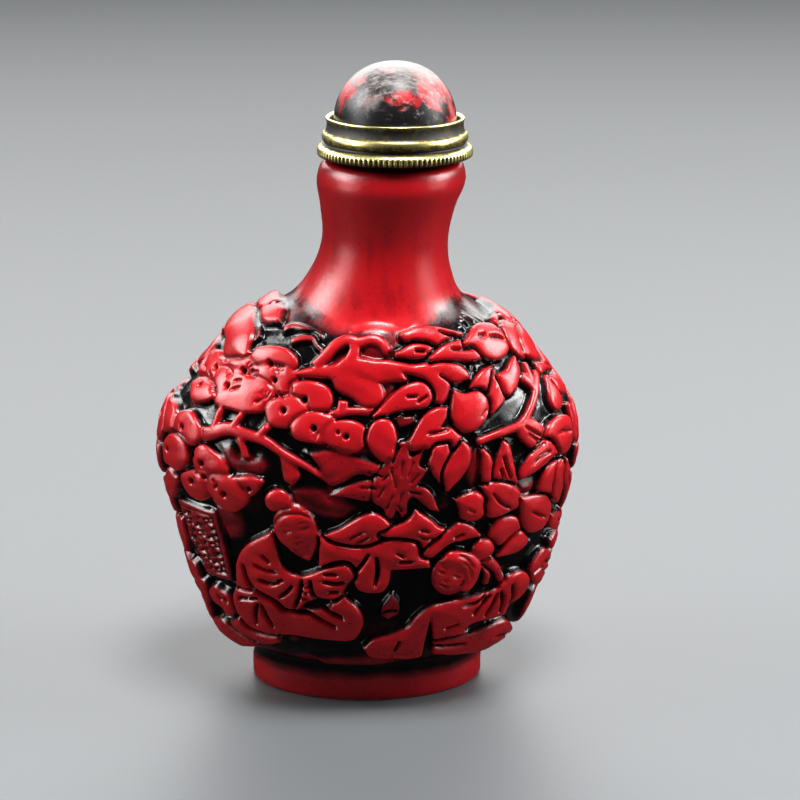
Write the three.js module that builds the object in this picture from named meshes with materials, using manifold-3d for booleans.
// A flattened, hollow snuff bottle carved all over with a scholar and a child in a garden,
// closed by a stopper: a turned and milled collar, a domed cap and a cork in the neck.
// Millimetres, +Z up. The origin is the middle of the flat foot, and the scholar's side faces -Y.

import * as THREE from 'three';
import { mergeVertices } from 'three/addons/utils/BufferGeometryUtils.js';
import Module from 'manifold-3d';

const wasm = await Module();
wasm.setup();

// ---------------------------------------------------------------- driving dimensions

const TOTAL_HEIGHT = 76;
const FOOT_HEIGHT = 5;
const FOOT_EDGE = 0.4;
const LIP_TOP = 64.7;
const LIP_EDGE = 0.6;

// The smooth ground under the carving: height, half width, half depth, shift along X.
const STATIONS = [
  [0.4, 14.15, 8.75, 0],
  [2.5, 14.15, 8.75, 0],
  [FOOT_HEIGHT, 14.3, 8.9, 0],
  [6, 16, 10, 0],
  [8, 18, 11.4, 0],
  [11, 19.3, 12.3, 0.1],
  [15, 20.9, 13.3, 0.2],
  [22, 22.5, 14.1, 0.2],
  [31, 24.2, 14.7, 0.1],
  [36, 22.9, 14.2, 0.3],
  [41, 18.8, 12.6, 0.7],
  [45, 15.7, 11.2, 0.6],
  [48.5, 10.2, 8.9, 1],
  [51.5, 8.3, 8, 1.5],
  [55.5, 7.35, 7.35, 2],
  [59.5, 7.85, 7.85, 2.3],
  [62.8, 8.6, 8.6, 2.7],
  [LIP_TOP, 8.1, 8.1, 2.8],
];
// Heights at which the outside has a ring of vertices, from the foot's edge to the lip's edge.
const OUTER_RINGS = [
  0.4, 4.9, 5.6, 7.5, 11, 16.5, 23.5, 31, 36, 41, 45, 49, 52, 55.5, 59.5, 62.8, 64.1,
];

const WALL = 3;
const FLOOR = 4.4;
const CAVITY_EDGE = 1.5;
const CAVITY_RINGS = [8, 15, 24, 31, 37, 43];
const BORE_RADIUS = 4;
const BORE_START = 49;

const RELIEF = 1.2;
const RELIEF_STEP = 0.15;
const ROOT = 0.5;
const LONGEST_EDGE = 6;

const STOPPER_X = 3.1;
const COLLAR_BASE = 65;
const COLLAR_SEAT = 68.4;
const DOME_BASE = 68.7;
const DOME_RADIUS = 7.2;
const DOME_FULLNESS = 2.15;
const CORK_BASE = 56.5;
const CORK_TOP_RADIUS = 3.6;
const CORK_BASE_RADIUS = 3.2;
const CORK_X = 2.4;
const GAP = 0.3;

const BODY_SEGMENTS = 32;
const CAVITY_SEGMENTS = 18;
const COLLAR_SEGMENTS = 32;
const DOME_SEGMENTS = 24;
const CORK_SEGMENTS = 16;

// ---------------------------------------------------------------- solids

function toManifold(geometry) {
  const plain = geometry.clone();
  plain.deleteAttribute('normal');
  plain.deleteAttribute('uv');
  const merged = mergeVertices(plain, 1e-4);
  const index = [];
  for (let i = 0; i < merged.index.count; i += 3) {
    const [a, b, c] = [0, 1, 2].map((k) => merged.index.getX(i + k));
    if (a !== b && b !== c && c !== a) index.push(a, b, c);
  }
  return new wasm.Manifold(new wasm.Mesh({
    numProp: 3,
    vertProperties: new Float32Array(merged.attributes.position.array),
    triVerts: new Uint32Array(index),
  }));
}

function toGeometry(solid) {
  const mesh = solid.getMesh();
  const geometry = new THREE.BufferGeometry();
  geometry.setAttribute('position', new THREE.BufferAttribute(mesh.vertProperties, 3));
  geometry.setIndex(new THREE.BufferAttribute(mesh.triVerts, 1));
  geometry.computeVertexNormals();
  return geometry;
}

// Turns a profile of [half width, height, half depth, shift] into an upright oval solid.
function ovalSolid(profile, segments) {
  const points = profile.map(([halfWidth, height]) => new THREE.Vector2(halfWidth, height));
  const geometry = new THREE.LatheGeometry(points, segments);
  geometry.rotateX(Math.PI / 2);
  const position = geometry.attributes.position;
  for (let i = 0; i < position.count; i += 1) {
    const [halfWidth, height, halfDepth, shift] = profile[i % profile.length];
    const flatness = halfWidth > 0 ? halfDepth / halfWidth : 1;
    position.setXYZ(i, position.getX(i) + shift, position.getY(i) * flatness, height);
  }
  return toManifold(geometry);
}

function roundSolid(profile, segments, x) {
  return ovalSolid(profile.map(([radius, height]) => [radius, height, radius, x]), segments);
}

// ---------------------------------------------------------------- the body's section

function slopeAt(i, column) {
  const last = STATIONS.length - 1;
  const rise = (j) => (STATIONS[j + 1][column] - STATIONS[j][column]) / (STATIONS[j + 1][0] - STATIONS[j][0]);
  const run = (j) => STATIONS[j + 1][0] - STATIONS[j][0];
  if (i === 0) return rise(0);
  if (i === last) return rise(last - 1);
  return (rise(i - 1) * run(i) + rise(i) * run(i - 1)) / (run(i - 1) + run(i));
}

// A smooth value between the stations, by Hermite curves.
function along(z, column) {
  let i = 0;
  while (i < STATIONS.length - 2 && z > STATIONS[i + 1][0]) i += 1;
  const run = STATIONS[i + 1][0] - STATIONS[i][0];
  const t = THREE.MathUtils.clamp((z - STATIONS[i][0]) / run, 0, 1);
  return (2 * t ** 3 - 3 * t ** 2 + 1) * STATIONS[i][column]
    + (t ** 3 - 2 * t ** 2 + t) * run * slopeAt(i, column)
    + (-2 * t ** 3 + 3 * t ** 2) * STATIONS[i + 1][column]
    + (t ** 3 - t ** 2) * run * slopeAt(i + 1, column);
}

function sectionAt(z) {
  return { halfWidth: along(z, 1), halfDepth: along(z, 2), shift: along(z, 3) };
}

// The angle round the body that lies u millimetres of arc from its front middle.
function angleAt(u, section) {
  const steps = 48;
  const speed = (angle) => Math.hypot(section.halfWidth * Math.cos(angle), section.halfDepth * Math.sin(angle));
  let angle = 0;
  for (let i = 0; i < steps; i += 1) {
    const half = angle + u / steps / 2 / speed(angle);
    angle += u / steps / speed(half);
  }
  return angle;
}

// A point on the body: u along its skin from the middle of the side, z up, lift off the ground.
// turn is 0 for the front and half a turn for the back.
function onBody(u, z, lift, turn) {
  const section = sectionAt(z);
  const angle = angleAt(u, section) + turn;
  const across = Math.sin(angle);
  const ahead = -Math.cos(angle);
  const step = 0.01;
  const above = sectionAt(z + step);
  const below = sectionAt(z - step);
  const slope = (key) => (above[key] - below[key]) / (2 * step);
  const { halfWidth, halfDepth, shift } = section;
  const normal = new THREE.Vector3(
    across / halfWidth,
    ahead / halfDepth,
    -(across ** 2 * slope('halfWidth') + across * slope('shift')) / halfWidth
      - (ahead ** 2 * slope('halfDepth')) / halfDepth,
  ).normalize();
  const point = new THREE.Vector3(shift + halfWidth * across, halfDepth * ahead, z);
  return point.addScaledVector(normal, lift);
}

// ---------------------------------------------------------------- outlines in (u, z)

// A pointed leaf from its stem to its tip. bow bends it to the left of that way.
function leaf(u0, z0, u1, z1, width, bow = 0) {
  const length = Math.hypot(u1 - u0, z1 - z0);
  const [du, dz] = [(u1 - u0) / length, (z1 - z0) / length];
  const stops = [0.28, 0.7];
  const place = (t, side) => {
    const off = bow * Math.sin(Math.PI * t) + side * (width / 2) * Math.sin(Math.PI * t ** 0.85);
    return [u0 + du * length * t - dz * off, z0 + dz * length * t + du * off];
  };
  return [
    place(0, 0),
    ...stops.map((t) => place(t, -1)),
    place(1, 0),
    ...stops.toReversed().map((t) => place(t, 1)),
  ];
}

// A round or oval pad: a peach, a pine cushion, a head.
function pad(u, z, halfU, halfZ, turn = 0, corners = 8) {
  return Array.from({ length: corners }, (_, i) => {
    const angle = (2 * Math.PI * i) / corners;
    const [x, y] = [halfU * Math.cos(angle), halfZ * Math.sin(angle)];
    return [u + x * Math.cos(turn) - y * Math.sin(turn), z + x * Math.sin(turn) + y * Math.cos(turn)];
  });
}

// A branch along a line of points, from one width to another.
function branch(line, startWidth, endWidth) {
  const sides = line.map(([u, z], i) => {
    const before = line[Math.max(i - 1, 0)];
    const after = line[Math.min(i + 1, line.length - 1)];
    const length = Math.hypot(after[0] - before[0], after[1] - before[1]);
    const half = THREE.MathUtils.lerp(startWidth, endWidth, i / (line.length - 1)) / 2;
    const [du, dz] = [((after[0] - before[0]) / length) * half, ((after[1] - before[1]) / length) * half];
    return { right: [u + dz, z - du], left: [u - dz, z + du] };
  });
  return [...sides.map((side) => side.right), ...sides.toReversed().map((side) => side.left)];
}

// ---------------------------------------------------------------- the carving

const SCHOLAR = [
  // robe, with the crossed legs
  [[-11.6, 23.9], [-14.6, 21.8], [-15.8, 19.2], [-15.9, 16.4], [-16.3, 14.2], [-15.8, 12.3], [-14.4, 10.8],
    [-12, 10.3], [-9, 10.7], [-3, 10.4], [-1.6, 11.2], [-1, 12.9], [-1.6, 14.7], [-3.3, 16.4], [-2.9, 18],
    [-5, 18.2], [-8.3, 18.2], [-10.8, 19.8]],
  // the arm held out, with its hanging sleeve
  [[-5.9, 23.9], [-4.2, 23], [-1.6, 22.6], [0.2, 22.9], [3, 23.6], [4.7, 23.2], [5.2, 21.2], [6.3, 20.6],
    [6.3, 20], [2, 20], [1.7, 17.8], [0.8, 17.1], [-1, 17.1], [-1.9, 18], [-2.3, 20.2], [-5.9, 19.6]],
  // head and beard
  [[-11.5, 26.2], [-10.3, 27.7], [-8.4, 28], [-6.9, 27.3], [-6.1, 25.8], [-6, 24], [-6.5, 22.1], [-7.3, 20.9],
    [-8.4, 21.7], [-10.2, 23.1]],
  // topknot
  pad(-10.7, 28.6, 1.7, 1.15, 0.1),
];

const CHILD = [
  // back and arm
  [[7.2, 15.1], [5.4, 13.9], [4.3, 11.8], [0.8, 10.4], [-0.6, 9.1], [0.3, 8], [5.6, 7.7], [6.5, 9.6],
    [11.2, 9.9], [11.4, 11.4], [15.9, 11.7], [17.1, 13.3], [19.5, 14.2], [19.9, 15.4], [18.8, 16.8],
    [16.3, 16.7], [14.8, 15.6], [10.5, 15.4]],
  // hem
  [[7.1, 9.3], [7.1, 8], [11, 7], [15.5, 6.3], [18.2, 6.3], [19.4, 7.2], [17.5, 9.6], [15.5, 10.3], [12, 9.6]],
  // head
  [[6.1, 15.7], [6.5, 18.9], [7.4, 20.3], [8.9, 21.2], [11.4, 20.9], [12.8, 19.6], [12.3, 17.4], [10.6, 15.9]],
  pad(13.2, 21.1, 1.25, 1.2),
  branch([[13.1, 19.4], [14.3, 18.4], [15.6, 16.6]], 1.3, 0.7),
];

const ROCKS = [
  [[-4.6, 24.1], [-1.7, 26], [-0.1, 26.8], [1.7, 25.6], [0.4, 24], [-1.6, 23.1], [-3.4, 23.2]],
  [[1.3, 24.4], [4.2, 26], [5, 26.9], [7, 25.4], [8.9, 24.4], [6.4, 23], [5.3, 23.9]],
  [[5.9, 21.3], [7.4, 23.4], [9.9, 25], [13.2, 23.9], [11.9, 23], [9.4, 22.9], [7.2, 21.5]],
  [[9.8, 28.3], [12.1, 28.8], [13, 28.1], [12.7, 25.4], [10.6, 25.9], [10, 27]],
  [[20.2, 17.4], [22.2, 18.4], [25, 17.3], [25.8, 15.9], [24.6, 14.6], [21.8, 14.6], [20.5, 15.6]],
  [[-25.6, 15.8], [-23, 16.2], [-21.3, 14.7], [-20.8, 12.3], [-21.9, 10.8], [-24.2, 11.5]],
  [[-20.2, 13.7], [-19.3, 14.9], [-17.6, 14], [-17, 12.8], [-19, 12.4]],
  [[-16.9, 10.3], [-16, 11.3], [-14.6, 10.2], [-14.1, 9.2], [-15.8, 9.5]],
  [[-21.3, 8.6], [-19.6, 9.8], [-17.6, 9.6], [-15.8, 8.5], [-13.4, 8.1], [-15.2, 7.5], [-19.8, 7.5]],
  branch([[-26.9, 24.8], [-26, 28.1], [-24.9, 27.9]], 1.2, 1),
  [[-27.2, 20.6], [-25.8, 22], [-24.5, 21], [-23.6, 18.2], [-24.4, 17.4], [-26.4, 18.6]],
];

const TABLET = [[-25, 25.1], [-18.6, 25.2], [-17.9, 21], [-16.8, 16.7], [-21.2, 16.7], [-23.7, 20]];
const POT = [[2.3, 16.3], [1.4, 15.1], [1.1, 13.9], [1.9, 13.1], [3, 13.9], [3.1, 15.1]];

const PINE = [
  pad(-18.6, 45, 4.9, 0.9, 0.03),
  pad(-11.6, 44.8, 1.9, 0.95, 0.1),
  pad(-12.1, 42.9, 2.9, 1.3, 0.15),
  pad(-16.7, 41.6, 2.8, 1.25, 0.2),
  pad(-21.8, 40.8, 2.3, 1.2, 0.1),
  pad(-15.6, 39.3, 3.8, 1.35),
  pad(-21.4, 38.4, 2, 0.8, 0.1),
  pad(-9.8, 40.4, 1.9, 1.9),
  pad(-9.7, 38, 2, 1.3, 0.2),
  pad(-6.9, 40, 1.7, 1.2),
  pad(-6.3, 37, 2.6, 1.2, 0.1),
  pad(-3.2, 36.2, 2.3, 1.5, -0.1),
  pad(-27.4, 36.7, 2.3, 0.9, 0.15),
  pad(-27, 34.3, 2.4, 1.2, 0.1),
  pad(-24.6, 31.4, 2.2, 1.8),
  pad(-19.1, 31.6, 1.9, 1.3),
  pad(-20.8, 28.7, 2.3, 1.7),
  pad(-16.5, 28.3, 2.2, 1.8, -0.2),
];

const TREE = [
  branch([[-23.8, 34.5], [-21.4, 34.5], [-19, 34.7], [-16, 35.3], [-12.6, 35.1], [-10, 34.1], [-6.5, 32.4],
    [-4.5, 30.4]], 1.6, 0.7),
  branch([[-18.8, 34.9], [-18.1, 36.4], [-17.5, 38]], 0.8, 0.6),
  branch([[-15.4, 35], [-14.6, 33.8], [-14.3, 32.8]], 0.8, 0.5),
  leaf(-9.9, 32.7, -8.8, 30.2, 1.7),
  branch([[-4.8, 37.9], [-2.3, 38.6], [0.4, 38.4]], 0.5, 0.6),
  branch([[11, 33.9], [13.8, 34.7], [17.3, 35.4], [19, 37.3], [21, 39.6]], 0.7, 1.2),
  branch([[19.9, 38.6], [18.2, 40.4], [17.3, 42.3]], 0.8, 0.5),
  branch([[17.5, 35.5], [19.2, 34.8], [20.5, 33.6]], 1.5, 1.1),
];

const LEAVES = [
  leaf(-4.2, 42.7, -8.8, 42, 1.1, -0.2),
  [[-4.6, 43], [-3.8, 44], [-1, 43.9], [0.1, 41.8], [0.8, 40.1], [0.2, 39.2], [-1.6, 39.5], [-3, 40.9], [-4.6, 41.4]],
  branch([[-6.9, 43.2], [-4.6, 45.1], [-3, 45.9], [-1.7, 45.6], [-0.6, 46], [1, 44.8]], 0.7, 0.7),
  leaf(-1.2, 43.6, 10.3, 41.6, 1.9, 0.9),
  leaf(5.9, 42, 7.7, 39.1, 1.9, 0.2),
  leaf(0.2, 38.3, 6.6, 39.9, 2.2, 0.8),
  pad(-3.3, 39.7, 1, 0.7, 0),
  leaf(1.6, 32.8, 0.7, 37.8, 2.6),
  leaf(3.1, 34.8, 8.1, 38.3, 2.4, 0.5),
  leaf(5.4, 35.3, 9.8, 35.4, 1.7, -0.1),
  leaf(2.8, 46.2, 10.2, 45.4, 1, 0.2),
  leaf(6.4, 44.2, 12.7, 43.5, 1.3, 0.4),
  leaf(10.8, 45.1, 16.8, 43.5, 2.4, 0.2),
  pad(19.6, 43.6, 2.9, 1.4, -0.2),
  leaf(16.3, 46.1, 22.4, 44.8, 1.1, 0.1),
  leaf(13.4, 41.9, 11.1, 40.2, 1.5, 0.3),
  leaf(13.6, 41.9, 14.1, 38, 1.9, 0.3),
  pad(16, 40.6, 1.4, 1.4, 0.3),
  leaf(21.6, 40.8, 28.2, 38.8, 1.5, 0.2),
  leaf(22.8, 38.9, 23.9, 35.9, 1.8),
  leaf(21.1, 34.2, 26.8, 31.8, 3.4),
  leaf(26.6, 35.2, 30.2, 31.6, 2.6, 0.3),
  leaf(17.5, 29.9, 23, 31.7, 2, 0.3),
  leaf(20.8, 27.3, 23.6, 29.9, 1.8, 0.2),
  leaf(24.1, 30, 23.7, 25.1, 1.8, -0.1),
  leaf(25.6, 30.2, 26.9, 25.6, 1.5, 0.2),
  leaf(13.6, 29.6, 17.6, 26.8, 1.9, 0.2),
  leaf(13.7, 28.4, 16.2, 25.9, 1.6, -0.4),
  leaf(14.2, 22.2, 17.5, 24.4, 2.4, 0.5),
  leaf(15, 20.6, 18.6, 21.9, 1.8, -0.2),
  leaf(22.8, 22.9, 27.4, 20.9, 1.5, 0.2),
  leaf(8.8, 29.5, 7.5, 34.4, 1.7, 0.4),
  leaf(8.9, 29.7, 10.8, 34.2, 1.9, -0.3),
  leaf(13.2, 29.9, 12.9, 33.6, 0.9),
  leaf(16.9, 29.6, 15, 33.9, 1.5, 0.1),
];

const PEACHES = [
  pad(10.9, 38.1, 2.25, 2.15, 0, 10),
  pad(20.4, 24.5, 2.4, 2.5, 0, 10),
];

const ORCHID = [
  leaf(2.2, 30.8, -6.9, 33.7, 2.2, -0.3),
  leaf(1.9, 29.6, -4, 29.6, 1.2, -0.9),
  leaf(3.2, 29.8, 3.8, 34.7, 1.6),
  leaf(4, 30.2, 6.1, 32.6, 1.1),
  leaf(3.6, 29.2, 7.3, 27, 1.3, 1),
  leaf(2.6, 30.2, 1.7, 26.7, 1.2),
];

// The back, plainer: a peach bough over rocks, with pine cushions at its left.
const BACK = [
  branch([[26, 24], [14, 28.5], [5, 28.5], [-3, 31.5], [-9, 35.5]], 1.8, 0.9),
  branch([[13.4, 28.8], [8.5, 36.6]], 1.1, 0.6),
  pad(8.2, 24.4, 2.4, 2.3, 0, 10),
  pad(-1.5, 37, 2.3, 2.2, 0, 10),
  pad(19.5, 33, 2.4, 2.3, 0, 10),
  leaf(17.2, 27, 21.5, 22.3, 2.6, -0.4),
  leaf(12.2, 32.2, 17.4, 37.2, 2.6, 0.4),
  leaf(8.4, 37.4, 13.4, 42.2, 2.6, -0.4),
  leaf(7.6, 37.6, 2.8, 42.4, 2.4, 0.4),
  leaf(3, 30.1, 6.3, 35.6, 2.4, 0.3),
  leaf(-3.2, 31, -1, 25.2, 2.4, 0.3),
  leaf(-8.6, 35.8, -6.2, 42.4, 2.6, 0.4),
  pad(-13.2, 38.4, 3.2, 1.8, 0.2),
  pad(-15.9, 34.2, 3.1, 1.8, -0.1),
  pad(-22.4, 34.6, 2.8, 1.9),
  pad(-19.8, 30.2, 3, 1.7, 0.1),
  pad(-25.8, 29.4, 2.1, 1.8),
  pad(25, 36.6, 2.6, 1.5, -0.2),
  leaf(-9.5, 45, 9.5, 45, 1.4, 0.3),
  [[-24.5, 14.5], [-21.5, 20.5], [-18, 22.5], [-15.5, 19.5], [-13.6, 15.4], [-16, 11.6], [-21.4, 11]],
  [[-13, 14], [-9.6, 18.6], [-6.5, 16.8], [-3.6, 12.2], [-6.6, 9.2], [-11.4, 9.2]],
  [[-3, 12], [1, 18], [4.5, 16.2], [8.4, 17.6], [11.2, 12.4], [8.2, 8.6], [0.5, 8.2]],
  [[11.8, 13.6], [14.8, 19.6], [18.6, 17.4], [22.8, 18.6], [24, 13], [20.4, 9.6], [14.2, 9.4]],
];

// Cuts every edge longer than the limit in two, again and again, so that the face can bend.
function subdivide(points, triangles) {
  let current = triangles;
  const middles = new Map();
  const tooLong = (a, b) => Math.hypot(points[a][0] - points[b][0], points[a][1] - points[b][1]) > LONGEST_EDGE;
  const middle = (a, b) => {
    const key = a < b ? `${a}_${b}` : `${b}_${a}`;
    if (!middles.has(key)) {
      points.push([(points[a][0] + points[b][0]) / 2, (points[a][1] + points[b][1]) / 2]);
      middles.set(key, points.length - 1);
    }
    return middles.get(key);
  };
  const split = ([a, b, c]) => {
    const edges = [[a, b, c], [b, c, a], [c, a, b]];
    const length = ([p, q]) => Math.hypot(points[p][0] - points[q][0], points[p][1] - points[q][1]);
    const [p, q, r] = edges.sort((s, t) => length(t) - length(s))[0];
    if (!tooLong(p, q)) return [[a, b, c]];
    const m = middle(p, q);
    return [[p, m, r], [m, q, r]];
  };
  for (let i = 0; i < 8; i += 1) current = current.flatMap(split);
  return mendEdges(current, middles);
}

// Cuts the neighbours of an edge that was cut from one side only, so that no corner hangs.
function mendEdges(triangles, middles) {
  let current = triangles;
  const cutEdge = ([a, b, c]) => {
    for (const [p, q, r] of [[a, b, c], [b, c, a], [c, a, b]]) {
      const m = middles.get(p < q ? `${p}_${q}` : `${q}_${p}`);
      if (m !== undefined) return [[p, m, r], [m, q, r]];
    }
    return [[a, b, c]];
  };
  for (let i = 0; i < 8; i += 1) current = current.flatMap(cutEdge);
  return current;
}

// Raises an outline off the body as a solid that is rooted below the ground.
function raised(outline, lift, turn) {
  const contour = outline.map(([u, z]) => new THREE.Vector2(u, z));
  if (THREE.ShapeUtils.area(contour) < 0) contour.reverse();
  const points = contour.map(({ x, y }) => [x, y]);
  const triangles = subdivide(points, THREE.ShapeUtils.triangulateShape(contour, []));
  const top = points.map(([u, z]) => onBody(u, z, lift, turn));
  const bottom = points.map(([u, z]) => onBody(u, z, -ROOT, turn));
  const count = points.length;
  const rim = new Set(triangles.flatMap(([a, b, c]) => [`${a}_${b}`, `${b}_${c}`, `${c}_${a}`]));
  const index = triangles.flatMap(([a, b, c]) => [a, b, c, count + c, count + b, count + a]);
  for (const edge of rim) {
    const [a, b] = edge.split('_').map(Number);
    if (!rim.has(`${b}_${a}`)) index.push(count + a, count + b, b, count + a, b, a);
  }
  const geometry = new THREE.BufferGeometry().setFromPoints([...top, ...bottom]);
  geometry.setIndex(index);
  return toManifold(geometry);
}

// Neighbours differ a little in height, so that no two tops lie in one another.
function carve(ground, outlines, turn) {
  const lift = (i) => RELIEF + (i % 3 - 1) * RELIEF_STEP;
  return outlines.reduce((body, outline, i) => body.add(raised(outline, lift(i), turn)), ground);
}

// ---------------------------------------------------------------- pieces

function bottle() {
  const outer = OUTER_RINGS.map((z) => [along(z, 1), z, along(z, 2), along(z, 3)]);
  const [lipWidth, , lipDepth, lipShift] = outer.at(-1);
  const ground = ovalSolid([
    [0, 0, 0, 0],
    [outer[0][0] - FOOT_EDGE, 0, outer[0][2] - FOOT_EDGE, 0],
    ...outer,
    [lipWidth - LIP_EDGE, LIP_TOP, lipDepth - LIP_EDGE, lipShift],
    [0, LIP_TOP, 0, lipShift],
  ], BODY_SEGMENTS);
  const inner = CAVITY_RINGS.map((z) => [along(z, 1) - WALL, z, along(z, 2) - WALL, along(z, 3)]);
  const [floorWidth, , floorDepth] = inner[0];
  const cavity = ovalSolid([
    [0, FLOOR, 0, 0],
    [floorWidth - 2 * CAVITY_EDGE, FLOOR, floorDepth - 2 * CAVITY_EDGE, 0],
    [floorWidth - CAVITY_EDGE / 2, FLOOR + CAVITY_EDGE, floorDepth - CAVITY_EDGE / 2, 0],
    ...inner,
    [BORE_RADIUS, BORE_START, BORE_RADIUS, along(BORE_START, 3)],
    [BORE_RADIUS, CORK_BASE, BORE_RADIUS, CORK_X],
    [BORE_RADIUS, LIP_TOP + 1, BORE_RADIUS, CORK_X],
    [0, LIP_TOP + 1, 0, CORK_X],
  ], CAVITY_SEGMENTS);
  const front = [...SCHOLAR, ...CHILD, ...ROCKS, TABLET, POT, ...PINE, ...TREE, ...LEAVES, ...PEACHES, ...ORCHID];
  const carved = carve(carve(ground, front, 0), BACK, Math.PI);
  return carved.subtract(cavity);
}

function collar() {
  return roundSolid([
    [0, COLLAR_BASE],
    [8.7, COLLAR_BASE],
    [9, COLLAR_BASE + 0.25],
    [9, 66],
    [8.7, 66.35],
    [8.2, 66.45],
    [8.2, 66.65],
    [8.5, 66.8],
    [8.55, 67.4],
    [8.4, 67.85],
    [7.95, 68],
    [7.8, 68.6],
    [8.05, 69.6],
    [8.05, 69.85],
    [7.75, 69.85],
    [DOME_RADIUS + GAP, 69.5],
    [DOME_RADIUS + GAP, COLLAR_SEAT],
    [0, COLLAR_SEAT],
  ], COLLAR_SEGMENTS, STOPPER_X);
}

function dome() {
  const rings = 8;
  const height = TOTAL_HEIGHT - DOME_BASE;
  const curve = Array.from({ length: rings + 1 }, (_, i) => {
    const angle = (Math.PI / 2) * (i / rings);
    return [
      DOME_RADIUS * Math.cos(angle) ** (2 / DOME_FULLNESS),
      DOME_BASE + height * Math.sin(angle) ** (2 / DOME_FULLNESS),
    ];
  });
  curve[rings][0] = 0;
  return roundSolid([[0, DOME_BASE], ...curve], DOME_SEGMENTS, STOPPER_X);
}

function cork() {
  return roundSolid([
    [0, CORK_BASE],
    [CORK_BASE_RADIUS, CORK_BASE],
    [CORK_TOP_RADIUS, CORK_BASE + 2],
    [CORK_TOP_RADIUS, COLLAR_BASE - GAP],
    [0, COLLAR_BASE - GAP],
  ], CORK_SEGMENTS, CORK_X);
}

// ---------------------------------------------------------------- the object

const RESIN = new THREE.MeshStandardMaterial({ color: '#a81f26', roughness: 0.35, metalness: 0 });
const MOTTLED_RESIN = new THREE.MeshStandardMaterial({ color: '#4a1a1a', roughness: 0.4, metalness: 0 });
const BRASS = new THREE.MeshStandardMaterial({ color: '#b39a5a', roughness: 0.35, metalness: 1 });
const CORK = new THREE.MeshStandardMaterial({ color: '#b98a5b', roughness: 0.9, metalness: 0 });

function piece(name, solid, material) {
  const mesh = new THREE.Mesh(toGeometry(solid), material);
  mesh.name = name;
  return mesh;
}

const snuffBottle = new THREE.Group();
snuffBottle.add(
  piece('bottle', bottle(), RESIN),
  piece('stopper_collar', collar(), BRASS),
  piece('stopper_dome', dome(), MOTTLED_RESIN),
  piece('stopper_cork', cork(), CORK),
);

export default snuffBottle;
